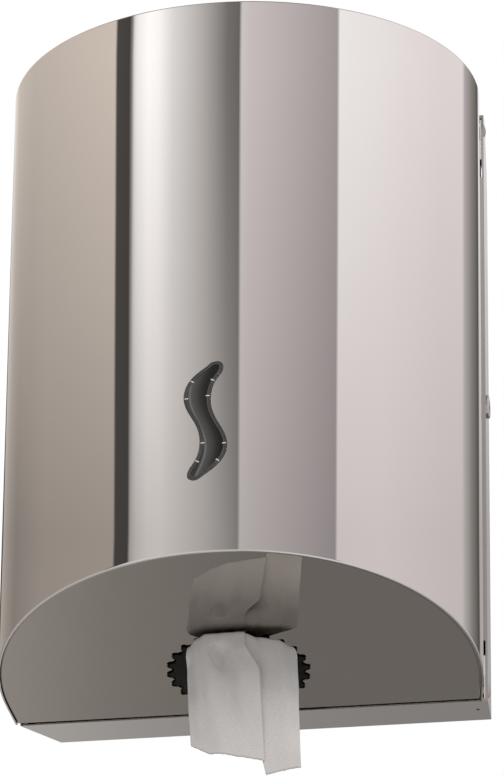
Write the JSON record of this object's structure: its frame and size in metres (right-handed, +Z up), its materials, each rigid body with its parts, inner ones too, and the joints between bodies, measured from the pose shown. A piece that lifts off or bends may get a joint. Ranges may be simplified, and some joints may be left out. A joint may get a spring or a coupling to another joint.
{
  "type": "centre-pull paper towel dispenser",
  "caption": "Wall-hung centre-pull paper towel dispenser: a round-fronted steel cover hinged on a wall tray, with a level window, toothed paper nozzle and key lock.",
  "frame": {"origin": "centre of the four wall holes, on the back face of the wall tray", "axes": "+Z up, +Y into the wall, -Y towards the user, +X to the user's right"},
  "size_m": [0.2397, 0.1705, 0.416],
  "materials": {
    "polished_steel": "mirror-polished stainless steel",
    "plain_steel": "mill-finished steel",
    "lock_metal": "nickel-plated zinc",
    "rivet_metal": "dull plated rivet",
    "clear_plastic": "clear polycarbonate",
    "smoked_plastic": "smoked polycarbonate",
    "black_plastic": "satin black moulded plastic",
    "grey_plastic": "grey moulded plastic",
    "white_plastic": "white acetal",
    "paper": "white embossed tissue"
  },
  "bodies": {
    "tray": {"wall_tray": "polished_steel", "hinge_tray_leaf_lower": "plain_steel", "hinge_tray_leaf_upper": "plain_steel", "hinge_pin_lower": "plain_steel", "hinge_pin_upper": "plain_steel", "hinge_rivets": "plain_steel", "edge_guide_lower": "white_plastic", "edge_guide_upper": "white_plastic", "guide_rivets": "rivet_metal", "lock_body": "lock_metal", "lock_nut": "lock_metal"},
    "cover": {"cover_wrap": "polished_steel", "cover_bottom_plate": "polished_steel", "cover_top_plate": "polished_steel", "window_bezel": "clear_plastic", "window_lens": "smoked_plastic", "window_clips": "clear_plastic", "hinge_cover_leaf_lower": "plain_steel", "hinge_cover_leaf_upper": "plain_steel", "keeper_bracket": "plain_steel", "nozzle_seat": "grey_plastic", "roll_tray": "grey_plastic", "paper_roll": "paper"},
    "lock_core": {"lock_plug": "lock_metal", "lock_cam": "plain_steel", "lock_cam_screw": "plain_steel"},
    "nozzle": {"nozzle_ring": "black_plastic", "nozzle_insert": "black_plastic"},
    "paper": {"paper_tail": "paper"}
  },
  "joints": [
    {"name": "cover_hinge", "type": "hinge", "parent": "tray", "child": "cover", "pos_m": [-0.11649, -0.01477, 0], "axis": [0, 0, -1], "range_deg": [0, 100]},
    {"name": "lock_turn", "type": "hinge", "parent": "tray", "child": "lock_core", "pos_m": [0.119, -0.0092, 0.004], "axis": [-1, 0, 0], "range_deg": [0, 90]},
    {"name": "nozzle_turn", "type": "hinge", "parent": "cover", "child": "nozzle", "pos_m": [0, -0.0585, -0.175], "axis": [0, 0, 1], "range_deg": [0, 30]},
    {"name": "paper_pull", "type": "slide", "parent": "cover", "child": "paper", "axis": [0, 0, -1], "range_m": [0, 0.04]}
  ]
}
